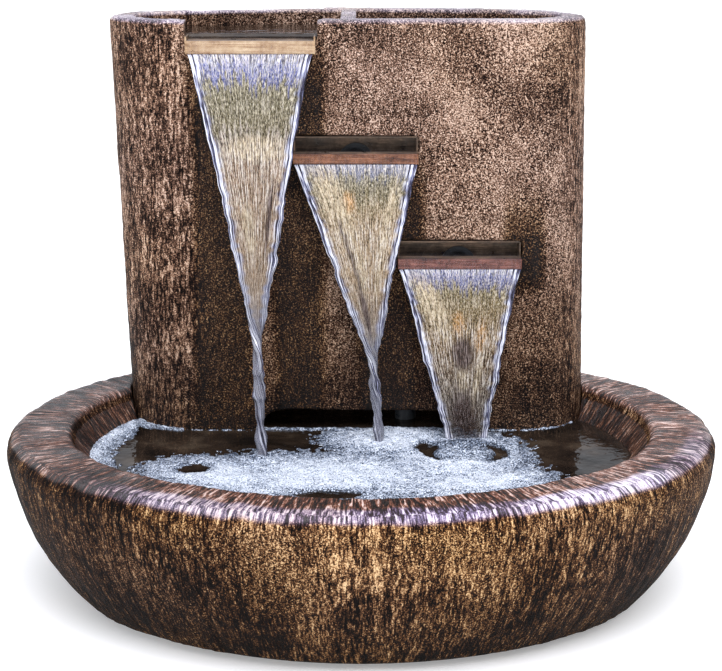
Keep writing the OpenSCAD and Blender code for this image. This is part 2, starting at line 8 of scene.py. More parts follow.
import bmesh
import bpy
import numpy as np
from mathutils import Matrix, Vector


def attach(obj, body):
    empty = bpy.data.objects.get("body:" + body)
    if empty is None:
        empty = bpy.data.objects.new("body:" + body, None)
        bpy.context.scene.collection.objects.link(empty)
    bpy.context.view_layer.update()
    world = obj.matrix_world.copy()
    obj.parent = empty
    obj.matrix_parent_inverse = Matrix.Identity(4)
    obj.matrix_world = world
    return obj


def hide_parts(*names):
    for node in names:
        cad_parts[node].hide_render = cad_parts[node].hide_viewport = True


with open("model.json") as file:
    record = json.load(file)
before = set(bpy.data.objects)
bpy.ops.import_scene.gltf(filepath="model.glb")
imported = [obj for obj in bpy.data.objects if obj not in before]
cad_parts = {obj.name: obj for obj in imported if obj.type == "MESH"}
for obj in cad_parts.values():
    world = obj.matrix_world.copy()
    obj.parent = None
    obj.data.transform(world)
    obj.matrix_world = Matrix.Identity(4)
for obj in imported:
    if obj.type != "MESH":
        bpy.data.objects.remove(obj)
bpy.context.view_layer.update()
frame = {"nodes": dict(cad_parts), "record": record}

# ------------------------------------------------------------------ camera

scene = bpy.context.scene
cam_data = bpy.data.cameras.new("camera")
cam = bpy.data.objects.new("camera", cam_data)
scene.collection.objects.link(cam)
cam.location = (0, -1.8, 0.6776)
cam.rotation_euler = (math.radians(76.5), 0, 0)
cam_data.lens = 97.7
cam_data.sensor_width = 36
cam_data.clip_end = 60
scene.camera = cam
scene.view_settings.view_transform = "Standard"

# ------------------------------------------------------------------ shape of the bowl and the tower

BOWL_W, BOWL_D, BOWL_H = 0.670, 0.575, 0.161
BOWL_END_R = 0.260  # of the arcs at the oval's two ends
RIM_W = 0.061
ROLL_R = 0.017  # of the rim's outer edge
BELLY_R, BELLY_Z, BELLY_X = 0.220, 0.1719, 0.2182  # the arc of the outer wall: radius, centre height, reach
WATER_Z = 0.1315
END_C = BOWL_W / 2 - BOWL_END_R
END_GAP = BOWL_D / 2 - BOWL_END_R
SIDE_D = (END_C**2 - END_GAP**2) / (2 * END_GAP)
SIDE_R = BOWL_D / 2 + SIDE_D
FRONT_Y, BACK_Y, TOWER_R = 0.071, 0.246, 0.072
END_Y = FRONT_Y + TOWER_R
FOOT_Z, TOP_Z = 0.096, 0.535
FOOT_W, TOP_GROWTH = 0.458, 0.009  # the tower's width, and how much wider it is at the top
FOOT_SHIFT, TOP_SHIFT = 0.003, 0.010  # how far it stands, and leans, to the left
WALL = 0.024
HEADER_Z = 0.5205  # the water in the top basin
SPILL_X = (-0.105, -0.005, 0.096)  # the three spillways: middle, crest and how far the lip hangs below it
SPILL_Z = (0.516, 0.4085, 0.306)
LIP_DROP = (0.012, 0.0095, 0.0095)
LIP_Y = 0.064
HALF_SPILL = 0.060


def oval(x, y):
    """Distance in from the bowl's outer oval, and the x and y of its point straight outside."""
    centre_x = np.where(x > 0, END_C, -END_C)
    centre_y = np.where(y > 0, -SIDE_D, SIDE_D)
    # an end arc's sector lies between lines from the centres of the two side arcs
    at_end = np.abs(x) * SIDE_D > (np.abs(y) + SIDE_D) * END_C
    cx = np.where(at_end, centre_x, 0.0)
    cy = np.where(at_end, 0.0, centre_y)
    radius = np.where(at_end, BOWL_END_R, SIDE_R)
    dx, dy = x - cx, y - cy
    dist = np.maximum(np.hypot(dx, dy), 1e-9)
    return radius - dist, cx + dx / dist * radius, cy + dy / dist * radius


def tower_gap(x, y, z):
    """Distance outside the tower's outline, less than 0 inside it."""
    k = (z - FOOT_Z) / (TOP_Z - FOOT_Z)
    half = (FOOT_W + TOP_GROWTH * k) / 2
    x = x + FOOT_SHIFT + TOP_SHIFT * k
    xc = half - TOWER_R
    q = BACK_Y - TOWER_R - END_Y
    m = (xc * xc - q * q) / (2 * q)
    ends = np.hypot(np.abs(x) - xc, y - END_Y) - TOWER_R
    back = np.hypot(x, y - END_Y + m) - (BACK_Y - END_Y + m)
    middle = np.where(y < END_Y, FRONT_Y - y, back)
    return np.where(np.abs(x) > xc, ends, middle)


# ------------------------------------------------------------------ noise and meshes

BEVEL_W = 0.0004
BOWL_VOXEL, TOWER_VOXEL = 0.0026, 0.0027
WATER_CELL, FOAM_CELL = 0.0022, 0.00125
GRAIN_STRETCH = 0.13  # the stone's grain is drawn out along the wall by one over this


def cell_value(ix, iy, iz, seed):
    h = (ix.astype(np.uint32) * np.uint32(374761393) + iy.astype(np.uint32) * np.uint32(668265263)
         + iz.astype(np.uint32) * np.uint32(2246822519) + np.uint32(seed * 7919 + 13))
    h = (h ^ (h >> np.uint32(13))) * np.uint32(1274126177)
    h = (h ^ (h >> np.uint32(15))) * np.uint32(2246822519)
    h ^= h >> np.uint32(16)
    return h.astype(np.float64) / 4294967295.0


def noise(p, scale, seed=0, octaves=1):
    """Value noise from -1 to 1 at points p, with that many cells a metre along each axis."""
    q = p * np.asarray(scale, dtype=float)
    out, amp, total = np.zeros(len(p)), 1.0, 0.0
    for k in range(octaves):
        i = np.floor(q).astype(np.int64)
        f = q - i
        f = f * f * (3 - 2 * f)
        v = np.zeros(len(p))
        for c in range(8):
            d = (c & 1, (c >> 1) & 1, (c >> 2) & 1)
            w = np.prod([f[:, a] if d[a] else 1 - f[:, a] for a in range(3)], axis=0)
            v += w * cell_value(i[:, 0] + d[0], i[:, 1] + d[1], i[:, 2] + d[2], seed + k)
        out += amp * (2 * v - 1)
        total += amp
        amp *= 0.5
        q = q * 2.03 + 17.1
    return out / total


def smooth(a, b, v):
    """0 at a and 1 at b, with a soft start and end."""
    t = np.clip((v - a) / (b - a), 0, 1)
    return t * t * (3 - 2 * t)


def mesh_object(name, verts, faces):
    me = bpy.data.meshes.new(name)
    me.from_pydata([tuple(v) for v in np.asarray(verts).tolist()], [], [tuple(f) for f in faces])
    me.validate()
    me.shade_smooth()
    ob = bpy.data.objects.new(name, me)
    scene.collection.objects.link(ob)
    return ob


def attribute(ob, name, values):
    """Stores one number or one vector for each vertex."""
    values = np.asarray(values, dtype=np.float32)
    kind = "FLOAT" if values.ndim == 1 else "FLOAT_VECTOR"
    a = ob.data.attributes.new(name, kind, "POINT")
    a.data.foreach_set("value" if kind == "FLOAT" else "vector", values.ravel())


def coords(me):
    v = np.empty(len(me.vertices) * 3)
    me.vertices.foreach_get("co", v)
    return v.reshape(-1, 3)


def normals(me):
    v = np.empty(len(me.vertices) * 3)
    me.vertex_normals.foreach_get("vector", v)
    return v.reshape(-1, 3)


def set_coords(me, v):
    me.vertices.foreach_set("co", np.asarray(v, dtype=np.float32).ravel())
    me.update()


def voxel_copy(node, name, voxel):
    """A fine even mesh of a CAD node, for carving."""
    bm = bmesh.new()
    bm.from_mesh(frame["nodes"][node].data)
    bmesh.ops.remove_doubles(bm, verts=bm.verts, dist=1e-6)
    me = bpy.data.meshes.new(name)
    bm.to_mesh(me)
    bm.free()
    ob = bpy.data.objects.new(name, me)
    scene.collection.objects.link(ob)
    mod = ob.modifiers.new("remesh", "REMESH")
    mod.mode, mod.voxel_size, mod.adaptivity = "VOXEL", voxel, 0
    dg = bpy.context.evaluated_depsgraph_get()
    fine = bpy.data.meshes.new_from_object(ob.evaluated_get(dg))
    ob.modifiers.clear()
    ob.data = fine
    fine.name = name
    fine.shade_smooth()
    return ob


def finish_piece(ob, mat, replaced=()):
    """Material, slot and body of a piece that is made here."""
    ob.data.materials.clear()
    ob.data.materials.append(mat)
    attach(ob, "root")
    if replaced:
        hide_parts(*replaced)
    return ob


def dress(node, mat, bevel_angle):
    """A material and a fine bevel for a piece that keeps its CAD shape."""
    ob = frame["nodes"][node]
    ob.data.materials.clear()
    ob.data.materials.append(mat)
    bevel = ob.modifiers.new("bevel", "BEVEL")
    bevel.width, bevel.segments, bevel.limit_method = BEVEL_W, 2, "ANGLE"
    bevel.angle_limit = math.radians(bevel_angle)


# ------------------------------------------------------------------ material kit


class Shade:
    """A Principled material and short calls for the nodes that feed it."""

    def __init__(self, name, **values):
        self.mat = bpy.data.materials.new(name)
        self.mat.use_nodes = True
        self.tree = self.mat.node_tree
        self.bsdf = self.tree.nodes["Principled BSDF"]
        self.set(**values)

    def put(self, n, key, v):
        socket = n.inputs[key]
        if isinstance(v, bpy.types.NodeSocket):
            self.tree.links.new(v, socket)
        elif isinstance(v, tuple) and socket.type == "RGBA":
            socket.default_value = v + (1,)
        else:
            socket.default_value = v

    def new(self, kind, props=(), ins=()):
        n = self.tree.nodes.new("ShaderNode" + kind)
        for k, v in dict(props).items():
            setattr(n, k, v)
        for k, v in dict(ins).items():
            self.put(n, k, v)
        return n

    def attr(self, name, out="Vector"):
        return self.new("Attribute", {"attribute_name": name}).outputs[out]

    def place(self, scale=(1, 1, 1), source=None):
        if source is None:
            source = self.new("TexCoord").outputs["Object"]
        return self.new("Mapping", {}, {"Vector": source, "Scale": scale}).outputs["Vector"]

    def noise(self, vec, scale, detail, rough):
        ins = {"Vector": vec, "Scale": scale, "Detail": detail, "Roughness": rough}
        return self.new("TexNoise", {}, ins).outputs["Fac"]

    def cells(self, vec, scale):
        return self.new("TexVoronoi", {"feature": "F1"}, {"Vector": vec, "Scale": scale}).outputs["Distance"]

    def math(self, op, a, b=0.5, clamp=False):
        return self.new("Math", {"operation": op, "use_clamp": clamp}, {0: a, 1: b}).outputs[0]

    def span(self, v, a, b, c=0.0, d=1.0):
        """v from a..b carried over to c..d."""
        return self.new("MapRange", {}, {"Value": v, "From Min": a, "From Max": b,
                                         "To Min": c, "To Max": d}).outputs["Result"]

    def ramp(self, v, stops):
        """A colour ramp, its stops given as 8-bit sRGB."""
        n = self.new("ValToRGB", {}, {"Fac": v})
        el = n.color_ramp.elements
        while len(el) < len(stops):
            el.new(0.5)
        for e, (pos, col) in zip(el, stops):
            e.position, e.color = pos, srgb(*col) + (1,)
        return n.outputs["Color"]

    def mix(self, fac, a, b, blend="MIX"):
        n = self.new("Mix", {"data_type": "RGBA", "blend_type": blend}, {0: fac})
        for i, v in ((6, a), (7, b)):
            if isinstance(v, bpy.types.NodeSocket):
                self.tree.links.new(v, n.inputs[i])
            else:
                n.inputs[i].default_value = tuple(v) + (1,)
        return n.outputs[2]

    def blend(self, *pairs):
        """Weighted sum of values."""
        total = None
        for v, w in pairs:
            term = self.math("MULTIPLY", v, w)
            total = term if total is None else self.math("ADD", total, term)
        return total

    def bump(self, height, strength, distance):
        ins = {"Height": height, "Strength": strength, "Distance": distance}
        return self.new("Bump", {}, ins).outputs["Normal"]

    def set(self, **values):
        for key, v in values.items():
            self.put(self.bsdf, key.replace("_", " "), v)


def srgb(r, g, b):
    """8-bit sRGB colour as linear values."""
    parts = (r / 255, g / 255, b / 255)
    return tuple(c / 12.92 if c <= 0.04045 else ((c + 0.055) / 1.055) ** 2.4 for c in parts)


# ------------------------------------------------------------------ stone


def stone_material():
    """Cast stone: the attributes say where it is wet, dark (painted shade, and stains), speckled, mauve or
    combed, and where a reflection is painted.
    """
    s = Shade("cast_stone", Coat_IOR=1.7)
    pat = s.attr("grain")
    obj = s.place()
    wet = s.attr("wet", "Fac")
    rim = s.attr("rim", "Fac")
    dark = s.attr("dark", "Fac")
    speckled = s.attr("speckle", "Fac")
    hue = s.attr("hue", "Fac")
    painted_reflection = s.attr("painted_reflection", "Fac")
    streak = s.noise(s.place((1, 1, 2.2), pat), 430, 3, 0.65)
    strand = s.noise(pat, 130, 2, 0.5)
    comb_line = s.noise(pat, 330, 2, 0.6)
    crack = s.span(s.noise(pat, 170, 2, 0.5), 0.0, 1.0, -1.0, 1.0)
    fissure = s.span(s.math("ABSOLUTE", crack), 0.0, 0.07)
    grit = s.noise(obj, 820, 2, 0.85)
    crumb = s.noise(obj, 580, 2, 0.7)
    patch = s.noise(obj, 16, 3, 0.6)
    wall = s.blend((streak, 0.36), (strand, 0.14), (grit, 0.34), (crumb, 0.16))
    pits = s.blend((grit, 0.48), (crumb, 0.40), (streak, 0.12))
    combed = s.blend((comb_line, 0.55), (streak, 0.25), (grit, 0.20))
    height = s.new("Mix", {"data_type": "FLOAT"}, {0: speckled, 2: wall, 3: pits}).outputs[0]
    height = s.new("Mix", {"data_type": "FLOAT"}, {0: rim, 2: height, 3: combed}).outputs[0]
    tone = s.math("ADD", height, s.span(patch, 0.3, 0.7, -0.03, 0.03))
    cut = s.math("MULTIPLY", s.math("SUBTRACT", 1.0, fissure), s.span(speckled, 0.0, 1.0, 0.05, 0.0))
    tone = s.math("SUBTRACT", tone, cut)
    tone = s.math("SUBTRACT", tone, s.math("MULTIPLY", dark, 0.055))
    ochre = s.ramp(tone, [(0.43, (9, 5, 3)), (0.465, (44, 25, 14)), (0.50, (96, 62, 36)),
                          (0.53, (166, 120, 74)), (0.575, (238, 200, 146))])
    mauve = s.ramp(tone, [(0.43, (12, 7, 6)), (0.465, (54, 36, 29)), (0.50, (108, 82, 68)),
                          (0.53, (168, 132, 112)), (0.575, (234, 208, 192))])
    comb = s.ramp(tone, [(0.42, (10, 5, 4)), (0.47, (52, 28, 20)), (0.505, (98, 56, 40)),
                         (0.54, (146, 98, 76)), (0.59, (226, 200, 190))])
    # film: the colour of the painted reflection, lavender over the wet stone
    film = s.ramp(s.math("ADD", tone, s.span(patch, 0.35, 0.65, -0.03, 0.03)),
                  [(0.42, (44, 30, 38)), (0.465, (112, 98, 132)),
                   (0.50, (182, 166, 188)), (0.54, (240, 230, 240))])
    colour = s.mix(hue, ochre, mauve)
    colour = s.mix(rim, colour, comb)
    colour = s.mix(painted_reflection, colour, film)
    # dark: painted shade on the bowl and inside the tower, together with the tower's wet stains
    colour = s.mix(s.math("MULTIPLY", dark, 0.55), colour, (0.14, 0.10, 0.08), "MULTIPLY")
    rough = s.math("ADD", s.math("MULTIPLY", wet, -0.34), s.span(grit, 0.3, 0.7, 0.56, 0.80))
    deep = s.math("ADD", height, s.math("MULTIPLY", fissure, s.span(speckled, 0.0, 1.0, 0.14, 0.02)))
    normal = s.bump(deep, 1.0, 0.0045)
    soaked = s.math("MULTIPLY", s.math("MULTIPLY", wet, wet), 0.8)
    s.set(Base_Color=colour, Roughness=rough, Normal=normal, Coat_Weight=soaked,
          Coat_Roughness=s.span(crumb, 0.35, 0.65, 0.08, 0.30), Coat_Normal=normal,
          Specular_IOR_Level=s.span(wet, 0.3, 1.0, 0.06, 0.40))
    return s.mat


STONE = stone_material()


def stone_bowl():
    """The bowl, with streaks that run up the wall and over the rim."""
    ob = voxel_copy("bowl", "stone_bowl", BOWL_VOXEL)
    p, n = coords(ob.data), normals(ob.data)
    x, y, z = p.T
    inset, ox, oy = oval(x, y)
    arc = np.sqrt(np.maximum(0, BELLY_R**2 - (BELLY_Z - z) ** 2))
    belly = ROLL_R + np.maximum(0, BELLY_X - arc)
    outer = (inset < belly + 0.020) & (z < 0.160)
    # the length along the profile: up the wall, in over the rim and down inside
    along = np.where(outer, z, BOWL_H + inset)
    along = np.where((inset > 0.058) & (z < 0.159) & ~outer, BOWL_H + RIM_W + (BOWL_H - z), along)
    grain = np.stack([ox, oy, along * GRAIN_STRETCH], axis=1)
    rimness = smooth(0.153, 0.1575, z + noise(p, 60, 3) * 0.0015) * smooth(0.10, 0.075, inset)
    # the relief fades out at the foot and where the tower stands
    free = smooth(0.0015, 0.006, tower_gap(x, y, z)) * smooth(0.002, 0.012, z)
    free = np.where(z < 0.088, smooth(0.002, 0.012, z), free)
    ribs = noise(grain, (150, 150, 60), 5, 2)
    wobble = noise(p, 28, 7, 2)
    comb_ribs = noise(grain, (125, 125, 40), 9)
    d = 0.0009 * ribs + 0.0010 * wobble + rimness * 0.0004 * comb_ribs
    set_coords(ob.data, p + n * (d * free)[:, None])
    inside = (~outer) & (z < 0.150) & (inset > 0.055)
    attribute(ob, "grain", grain)
    attribute(ob, "rim", np.where(inside, 0.75, rimness))
    sheen = 0.75 + 0.35 * noise(p, 30, 13, 2)
    attribute(ob, "wet", np.clip(np.where(inside, 0.8, rimness) * sheen, 0, 1))
    # painted shade: darker towards the bottom, at the two ends, on the inner wall above the water, and
    # towards the rim's left
    shade = 1 - smooth(-0.01, 0.140, z + 0.03 * noise(p, 11, 15, 2))
    far_side = 0.45 * smooth(0.08, 0.30, x) + 0.75 * smooth(0.04, 0.26, -x)
    painted_shade = np.where(inside, 0.75, 0.02 + 0.82 * shade**0.75 + far_side)
    rim_painted_shade = 0.02 + 0.46 * smooth(0.10, 0.26, -x)
    attribute(ob, "dark", np.clip(painted_shade * (1 - rimness) + rim_painted_shade * rimness, 0, 1))
    attribute(ob, "speckle", np.clip(0.20 + 0.5 * noise(p, 14, 11), 0, 1) * (z < 0.148))
    attribute(ob, "hue", np.clip(0.10 + 0.3 * noise(p, 12, 17), 0, 1))
    # a painted reflection of the sky on the rim's outer roll, at the front and the right
    front_roll = smooth(0.030, 0.020, inset + 0.004 * noise(p, 70, 19)) * (n[:, 2] > 0.1)
    around = smooth(-0.27, -0.16, x) * smooth(-0.11, -0.19, y) * (0.66 + 0.34 * smooth(-0.06, 0.10, x))
    around = np.maximum(around, 0.55 * smooth(0.16, 0.24, x) * smooth(0.0, -0.10, y))
    painted_reflection = rimness * front_roll * around * (1 + 0.5 * noise(p, 24, 29, 2))
    attribute(ob, "painted_reflection", np.clip(painted_reflection, 0, 1))
    finish_piece(ob, STONE, ("bowl",))


STAINS = (  # wet streaks on the front: middle, half width, lowest and highest point
    (-0.138, 0.025, 0.10, 0.49), (-0.052, 0.018, 0.14, 0.50), (0.030, 0.030, 0.10, 0.38),
    (0.158, 0.016, 0.28, 0.345), (-0.060, 0.022, 0.10, 0.36),
)


def stone_tower():
    """The tower: pitted in the middle, ribbed at the ends, stained below the spills."""
    ob = voxel_copy("tower", "stone_tower", TOWER_VOXEL)
    p, n = coords(ob.data), normals(ob.data)
    x, y, z = p.T
    gap = tower_gap(x, y, z)
    outside = gap > -0.012
    grain = p * (1, 1, GRAIN_STRETCH)
    ends = (smooth(0.150, 0.175, -x + noise(p, 16, 21) * 0.02)
            + smooth(0.192, 0.212, x + noise(p, 16, 39) * 0.01))
    ridge = noise(grain, (170, 170, 60), 23, 2)
    pit = noise(p, 230, 25, 2)
    # the outside swells a little, except round the spillways
    near_slot = np.zeros(len(p), dtype=bool)
    for x0, z0 in zip(SPILL_X, SPILL_Z):
        near_slot |= (np.abs(x - x0) < 0.068) & (np.abs(z - z0) < 0.04)
    swell = np.where(near_slot, 0, 0.0014)
    ribs = ends * 0.0012 * (0.5 - 0.5 * ridge)
    d = swell - 0.0010 * (0.5 - 0.5 * pit) - ribs + 0.0007 * (noise(p, 25, 27, 2) - 1)
    set_coords(ob.data, p + n * (d * np.where(outside, 1, 0.7))[:, None])
    low = smooth(0.31, 0.13, z + noise(p, 20, 31) * 0.04)
    stain = np.zeros(len(p))
    edge = noise(grain, (60, 60, 40), 33) * 0.010
    for x0, half, z0, z1 in STAINS:
        stain = np.maximum(stain, smooth(half + 0.014, half - 0.006, np.abs(x - x0) + edge)
                           * smooth(z0 - 0.02, z0 + 0.01, z) * smooth(z1 + 0.04, z1 - 0.03, z))
    stain = stain * smooth(0.125, 0.095, y)  # none at the back
    front = (y < 0.10) & outside
    wetness = np.where(front, np.maximum(low * 0.35, stain * 0.4), low * 0.3)
    top = smooth(0.5315, 0.5335, z)
    attribute(ob, "grain", grain)
    attribute(ob, "rim", np.zeros(len(p)))
    attribute(ob, "wet", np.clip(np.maximum(wetness, top * 0.95), 0, 1))
    blotch = 0.12 * smooth(-0.2, 0.5, noise(p, 9, 41, 2))
    # darker on the wet stains, towards the foot and in blotches; painted shade on everything inside the tower
    dark = np.where(outside, np.maximum(0.80 * stain, 0.70 * low) + blotch + 0.04, 0.50)
    attribute(ob, "dark", np.clip(dark * (1 - top), 0, 1))
    # a painted reflection on the tower's wet flat top
    attribute(ob, "painted_reflection", np.clip(top * (0.5 + 0.5 * noise(p, 30, 43, 2)), 0, 1))
    speckle = 0.92 * (1 - 0.85 * ends) - 0.10 * low + 0.1 * noise(p, 12, 35)
    attribute(ob, "speckle", np.clip(speckle, 0, 1))
    hue = 0.78 - 0.7 * np.maximum(stain, 0.5 * low) + 0.25 * noise(p, 10, 37, 2)
    attribute(ob, "hue", np.clip(hue, 0, 1))
    finish_piece(ob, STONE, ("tower",))


stone_bowl()
stone_tower()

# ------------------------------------------------------------------ copper

TARNISH_Y = 0.066  # the copper is bright in front of this and old behind it
COPPER = {  # light, middle and deep colour
    "spillway_upper": ((220, 196, 164), (180, 148, 116), (118, 88, 64)),
    "spillway_middle": ((168, 116, 86), (102, 66, 48), (36, 22, 16)),
    "spillway_lower": ((164, 112, 98), (104, 68, 60), (38, 24, 20)),
}


def copper_material(name, light, mid, deep):
    """Copper with a worn front edge and a brown film behind it."""
    s = Shade(name)
    obj = s.place()
    brushed = s.noise(s.place((12, 60, 260)), 3, 4, 0.65)
    bloom = s.noise(obj, 55, 4, 0.65)
    flecks = s.noise(obj, 300, 2, 0.6)
    v = s.blend((brushed, 0.4), (bloom, 0.45), (flecks, 0.15))
    bright = s.ramp(v, [(0.34, deep), (0.47, mid), (0.62, light)])
    back = s.new("SeparateXYZ", {}, {"Vector": obj}).outputs["Y"]
    back = s.math("ADD", back, s.span(bloom, 0.3, 0.7, -0.003, 0.003))
    tarnish = s.span(back, TARNISH_Y, TARNISH_Y + 0.006)
    old = s.ramp(v, [(0.36, (40, 30, 22)), (0.5, (96, 78, 62)), (0.64, (160, 132, 108))])
    s.set(Base_Color=s.mix(tarnish, bright, old), Metallic=s.span(tarnish, 0.0, 1.0, 0.85, 0.25),
          Roughness=s.span(bloom, 0.3, 0.7, 0.22, 0.5), Normal=s.bump(v, 0.35, 0.0012))
    return s.mat


for node, colours in COPPER.items():
    dress(node, copper_material(node + "_copper", *colours), 30)

# ------------------------------------------------------------------ falls


def fall_material(name, bands):
    """Moving water, whose look follows how far across and down the sheet it is: a painted reflection with
    painted highlights and painted shade.
    """
    s = Shade(name, IOR=1.33, Specular_IOR_Level=0.5, Roughness=0.10)
    flow = s.attr("flow")
    parts = s.new("SeparateXYZ", {}, {"Vector": flow})
    across, down, edge = (parts.outputs[axis] for axis in "XYZ")
    strands = s.noise(s.place((9, 2.0, 0), flow), 1, 4, 0.6)
    fine = s.noise(s.place((38, 9, 0), flow), 1, 3, 0.65)
    grains = s.noise(s.place((62, 62, 0), flow), 1, 2, 0.8)
    lumps = s.noise(s.place((24, 26, 0), flow), 1, 2, 0.6)
    jitter = s.math("ADD", down, s.span(strands, 0.3, 0.7, -0.05, 0.05))
    jitter = s.math("ADD", jitter, s.span(fine, 0.3, 0.7, -0.035, 0.035))
    jitter = s.math("ADD", jitter, s.span(lumps, 0.3, 0.7, -0.04, 0.04))
    body = s.ramp(jitter, bands)
    break_up = s.span(s.blend((lumps, 0.5), (fine, 0.5)), 0.40, 0.56, 0.25, 1.0)
    # cream patches: painted highlights
    body = s.mix(s.math("MULTIPLY", s.attr("cream", "Fac"), break_up), body, srgb(216, 196, 162))
    body = s.mix(s.math("MULTIPLY", s.attr("amber", "Fac"), break_up), body, srgb(208, 150, 72))

    # painted highlights: white streaks down the sheet and small glints
    white, grey, faint = (255, 255, 255), (90, 90, 90), (20, 20, 20)
    streaky = s.ramp(down, [(0.0, white), (0.05, grey), (0.09, faint), (0.26, faint),
                            (0.33, white), (1.0, (200, 200, 200))])
    streaky = s.new("SeparateColor", {}, {"Color": streaky}).outputs["Red"]
    fac = s.math("MULTIPLY", s.span(fine, 0.50, 0.60), s.span(streaky, 0.0, 1.0, 0.25, 0.85))
    light = s.mix(fac, body, srgb(236, 228, 220))
    fac = s.math("MULTIPLY", s.span(grains, 0.51, 0.60), 0.55)
    light = s.mix(fac, light, srgb(236, 226, 202))

    fac = s.math("MULTIPLY", s.span(fine, 0.49, 0.40), s.span(streaky, 0.0, 1.0, 0.35, 0.85))
    shaded = s.mix(fac, light, (0.20, 0.17, 0.15), "MULTIPLY")
    fac = s.math("MULTIPLY", s.span(grains, 0.48, 0.40), 0.85)
    shaded = s.mix(fac, shaded, (0.26, 0.23, 0.20), "MULTIPLY")
    fac = s.math("MULTIPLY", s.span(lumps, 0.48, 0.38), 0.5)
    shaded = s.mix(fac, shaded, (0.42, 0.38, 0.34), "MULTIPLY")
    # painted shade: dark patches and lines on the sheet
    gloom = s.ramp(s.blend((lumps, 0.4), (fine, 0.6)),
                   [(0.42, (30, 20, 20)), (0.52, (80, 64, 60)), (0.62, (150, 136, 134))])
    shaded = s.mix(s.math("MULTIPLY", s.attr("painted_shade", "Fac"), 0.9), shaded, gloom)

    # painted highlights along the sheet's thick edges
    lines = s.math("ADD", s.math("MULTIPLY", across, 62.0), s.span(strands, 0.3, 0.7, -4.0, 4.0))
    lines = s.math("ADD", s.math("SINE", lines), s.span(fine, 0.3, 0.7, -1.6, 1.6))
    rim = s.ramp(s.span(lines, -1.4, 1.4), [(0.14, (34, 32, 44)), (0.38, (92, 92, 122)),
                                            (0.62, (160, 164, 190)), (0.82, (244, 246, 255))])
    colour = s.mix(edge, shaded, rim)
    alpha = s.attr("cover", "Fac")
    alpha = s.math("MULTIPLY", alpha, s.span(fine, 0.35, 0.6, 0.78, 1.0), True)
    h = s.blend((strands, 0.25), (fine, 0.4), (lines, 0.04), (lumps, 0.2))
    s.set(Base_Color=colour, Alpha=alpha, Normal=s.bump(h, 0.9, 0.004))
    return s.mat


def tube_rows(rows):
    """Closed mesh from rings of equal size."""
    n, m = len(rows), len(rows[0])
    verts = np.concatenate(rows)
    faces = [(k * m + i, k * m + (i + 1) % m, (k + 1) * m + (i + 1) % m, (k + 1) * m + i)
             for k in range(n - 1) for i in range(m)]
    faces.append(tuple(range(m - 1, -1, -1)))
    faces.append(tuple((n - 1) * m + i for i in range(m)))
    return verts, faces


def spots(flow, patches):
    """Soft leaning ellipses over the sheet: across, down, half sizes and lean."""
    m = np.zeros(len(flow))
    for u, t, ru, rt, lean in patches:
        off = np.hypot((flow[:, 0] - u - lean * (flow[:, 1] - t)) / ru, (flow[:, 1] - t) / rt)
        m = np.maximum(m, smooth(1.25, 0.55, off))
    return m


FALL_STEPS = 300  # rings down a fall
FALL_ACROSS = 36  # points across its front, and as many across its back
GRAVITY = 9.81
HEAD = 0.010  # the height of free fall that gives the water its speed at the lip
ROPE_W = 0.012  # the sheet has closed where it is as narrow as this
ON_COPPER, IN_SHEET, IN_ROPE = 0.03, 0.94, 0.80  # how much the water covers what is behind it


